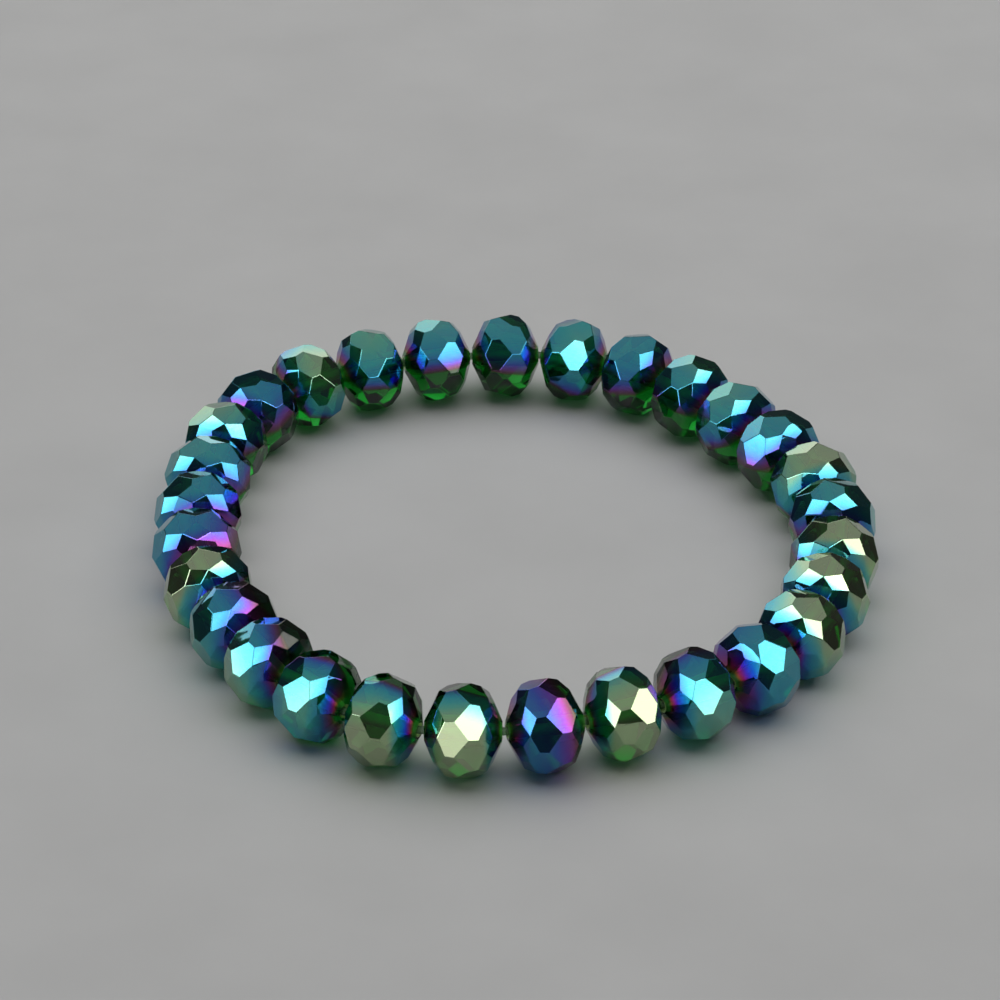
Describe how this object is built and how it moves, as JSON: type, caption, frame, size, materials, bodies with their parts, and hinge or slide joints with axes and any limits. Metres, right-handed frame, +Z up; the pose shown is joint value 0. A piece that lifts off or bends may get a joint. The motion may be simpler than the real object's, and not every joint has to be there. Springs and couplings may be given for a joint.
{
  "type": "beaded stretch bracelet",
  "caption": "Closed stretch bracelet of faceted rondelle glass beads with an iridescent half coating, strung on a clear elastic thread and lying flat in a slightly oval loop.",
  "frame": {"origin": "below the middle of the loop, on the plane that the beads rest on", "axes": "+Z is up, along the way a hand passes through; +Y is the long way of the loop, away from the viewer; +X is to the viewer's right"},
  "size_m": [0.0652, 0.0748, 0.008],
  "materials": {
    "bead_glass": "clear dark green cut glass, half of each bead coated with a thin iridescent metallic film",
    "thread": "smooth clear elastic, slightly milky"
  },
  "bodies": {
    "root": {"bead_01": "bead_glass", "bead_02": "bead_glass", "bead_03": "bead_glass", "bead_04": "bead_glass", "bead_05": "bead_glass", "bead_06": "bead_glass", "bead_07": "bead_glass", "bead_08": "bead_glass", "bead_09": "bead_glass", "bead_10": "bead_glass", "bead_11": "bead_glass", "bead_12": "bead_glass", "bead_13": "bead_glass", "bead_14": "bead_glass", "bead_15": "bead_glass", "bead_16": "bead_glass", "bead_17": "bead_glass", "bead_18": "bead_glass", "bead_19": "bead_glass", "bead_20": "bead_glass", "bead_21": "bead_glass", "bead_22": "bead_glass", "bead_23": "bead_glass", "bead_24": "bead_glass", "bead_25": "bead_glass", "bead_26": "bead_glass", "bead_27": "bead_glass", "bead_28": "bead_glass", "bead_29": "bead_glass", "elastic_thread": "thread"}
  },
  "joints": []
}
